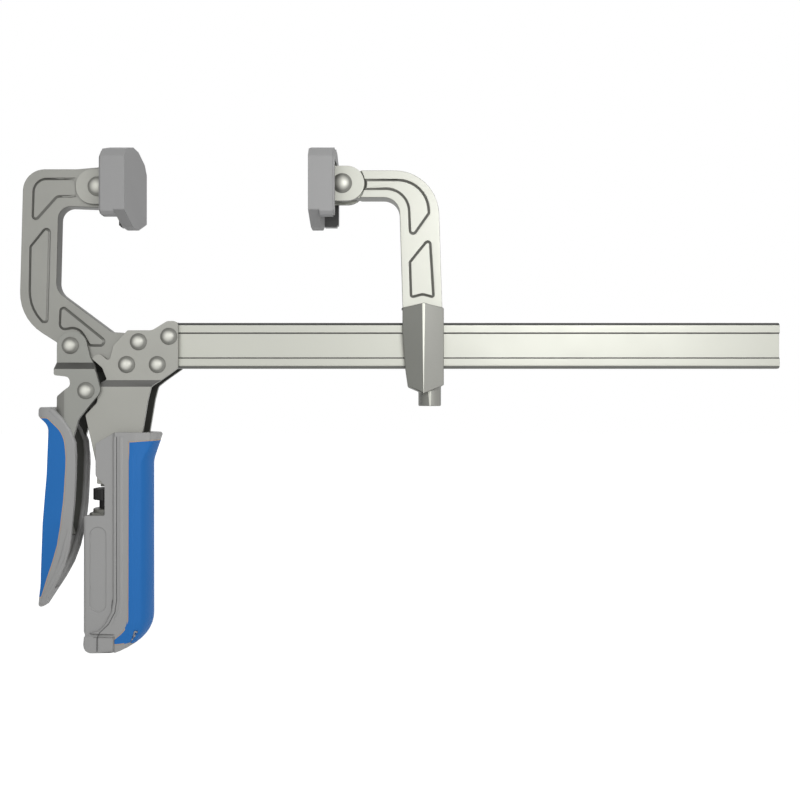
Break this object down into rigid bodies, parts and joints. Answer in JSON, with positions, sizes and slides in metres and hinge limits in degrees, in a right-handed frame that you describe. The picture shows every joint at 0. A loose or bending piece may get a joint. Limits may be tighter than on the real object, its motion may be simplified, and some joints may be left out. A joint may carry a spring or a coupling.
{
  "type": "quick release bar clamp",
  "caption": "One-handed bar clamp: a fixed jaw closed by a locking lever and toggle link, a sliding jaw that brakes on a flat bar, swivelling pads and a pressure knob.",
  "frame": {"origin": "centre of the fixed jaw pad's working face", "axes": "+X along the bar from the fixed jaw to the sliding jaw, +Z from the bar towards the jaws, +Y through the clamp's thickness away from the viewer of the picture"},
  "size_m": [0.4523, 0.042, 0.298],
  "materials": {
    "plate_steel": "satin plated pressed steel",
    "bar_steel": "bright satin plating",
    "rivet_steel": "satin",
    "dark_steel": "oiled, dull",
    "arm_steel": "satin plated forging",
    "yoke_steel": "satin plated pressing",
    "jaw_casting": "satin plated casting",
    "pad_plastic": "matte",
    "grey_plastic": "fine grained",
    "blue_rubber": "soft, matte",
    "knob_plastic": "matte",
    "collar_plastic": "matte",
    "spring_steel": "drawn wire"
  },
  "bodies": {
    "frame": {"frame_plate_front": "plate_steel", "frame_plate_back": "plate_steel", "bar": "bar_steel", "frame_rivets": "rivet_steel", "arm_pivot_rivet": "rivet_steel", "frame_spacer": "dark_steel", "handle_shell_front": "grey_plastic", "handle_shell_back": "grey_plastic", "handle_grip_inlay": "blue_rubber", "adjuster_collar": "collar_plastic"},
    "adjuster": {"adjuster_knob": "knob_plastic", "adjuster_screw": "dark_steel", "screw_retainer": "dark_steel"},
    "carriage": {"pressure_carriage": "dark_steel"},
    "fixed_jaw": {"jaw_arm": "arm_steel", "lever_pivot_rivet": "rivet_steel", "fixed_pad_rivet": "rivet_steel"},
    "fixed_jaw_pad": {"fixed_pad": "pad_plastic", "fixed_pad_bracket": "plate_steel"},
    "lever": {"lever_yoke": "yoke_steel", "lever_grip_shell": "grey_plastic", "lever_grip_inlay": "blue_rubber", "link_rivet": "rivet_steel"},
    "link": {"toggle_link": "dark_steel", "link_foot_pin": "rivet_steel"},
    "slide": {"sliding_jaw": "jaw_casting", "sliding_pad_rivet": "rivet_steel", "brake_plunger": "knob_plastic", "brake_spring": "spring_steel", "brake_set_screw": "dark_steel"},
    "slide_pad": {"sliding_pad": "pad_plastic", "sliding_pad_bracket": "plate_steel"}
  },
  "joints": [
    {"name": "arm_pivot", "type": "hinge", "parent": "frame", "child": "fixed_jaw", "pos_m": [-0.0036, 0, -0.105], "axis": [0, -1, 0], "range_deg": [0, 15]},
    {"name": "lever_pivot", "type": "hinge", "parent": "fixed_jaw", "child": "lever", "pos_m": [-0.0369, 0, -0.0937], "axis": [0, 1, 0], "range_deg": [0, 50]},
    {"name": "link_pivot", "type": "hinge", "parent": "lever", "child": "link", "pos_m": [-0.0261, 0, -0.1205], "axis": [0, -1, 0], "range_deg": [0, 60.6]},
    {"name": "fixed_pad_swivel", "type": "hinge", "parent": "fixed_jaw", "child": "fixed_jaw_pad", "pos_m": [-0.0208, 0, 0.0006], "axis": [0, 1, 0], "range_deg": [-12, 12]},
    {"name": "jaw_slide", "type": "slide", "parent": "frame", "child": "slide", "axis": [1, 0, 0], "range_m": [-0.096, 0.198]},
    {"name": "sliding_pad_swivel", "type": "hinge", "parent": "slide", "child": "slide_pad", "pos_m": [0.1241, 0, 0.0025], "axis": [0, 1, 0], "range_deg": [-12, 12]},
    {"name": "adjuster_turn", "type": "hinge", "parent": "frame", "child": "adjuster", "pos_m": [-0.0156, 0, -0.185], "axis": [0, 0, 1], "range_deg": [-180, 180]},
    {"name": "carriage_slide", "type": "slide", "parent": "frame", "child": "carriage", "axis": [0, 0, 1], "range_m": [-0.00063, 0.00063]}
  ],
  "couplings": [
    {"joint": "arm_pivot", "follows": "lever_pivot", "ratio": 0.2989},
    {"joint": "link_pivot", "follows": "lever_pivot", "ratio": 1.21},
    {"joint": "carriage_slide", "follows": "adjuster_turn", "m_per_rad": 0.000199}
  ]
}
